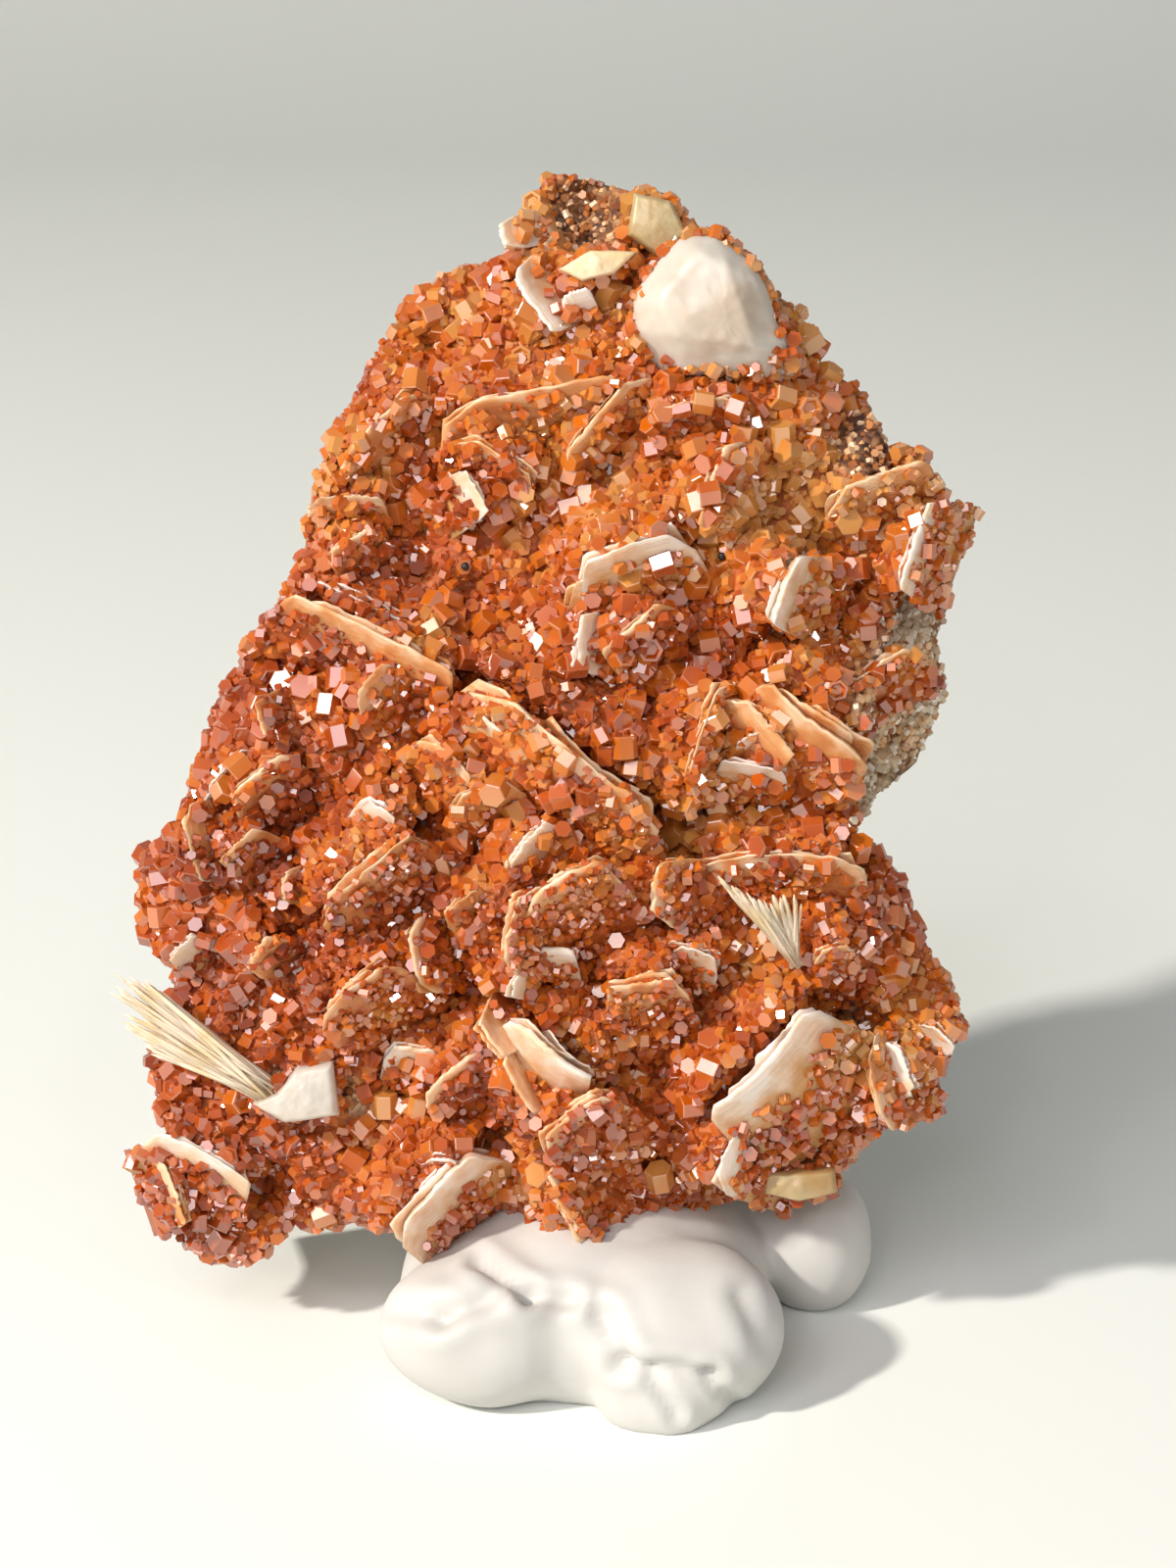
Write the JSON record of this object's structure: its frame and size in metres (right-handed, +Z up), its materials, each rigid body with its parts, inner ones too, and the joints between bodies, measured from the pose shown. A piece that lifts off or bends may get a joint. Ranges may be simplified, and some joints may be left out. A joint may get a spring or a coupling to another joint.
{
  "type": "vanadinite on barite matrix mineral specimen",
  "caption": "Upright mineral specimen: orange-red vanadinite prisms coating bladed cream barite on matrix, held in a moulded lump of white mounting putty.",
  "frame": {"origin": "on the ground under the middle of the whole specimen and its putty", "axes": "+Z up, the crystal face looks towards -Y and leans back, +X to its right as seen from the front"},
  "size_m": [0.0622, 0.0398, 0.0823],
  "materials": {
    "matrix": "matte",
    "vanadinite": "gloss",
    "barite": "satin",
    "white_barite": "satin",
    "yellow_barite": "satin",
    "putty": "matte"
  },
  "bodies": {
    "root": {"barite_matrix": "matrix", "white_massive_barite": "white_barite", "lower_white_barite": "white_barite", "yellow_foot_plate": "yellow_barite", "yellow_crown_barite": "yellow_barite", "cream_crown_lens": "barite", "fibrous_fan_left": "barite", "radiating_fan_right": "barite", "long_upper_left_blade": "barite", "broad_upper_blade": "barite", "grey_pointed_blade": "barite", "paired_lens_blades": "barite", "long_centre_blade": "barite", "coated_left_blade": "vanadinite", "great_coated_blade": "vanadinite", "coated_lower_left_blade": "vanadinite", "coated_lower_right_blade": "vanadinite", "silver_lower_blade": "barite", "white_lens_blade": "barite", "big_white_blade": "barite", "coated_bottom_blade": "vanadinite", "striated_bottom_blade": "barite", "mounting_putty": "putty"}
  },
  "joints": []
}
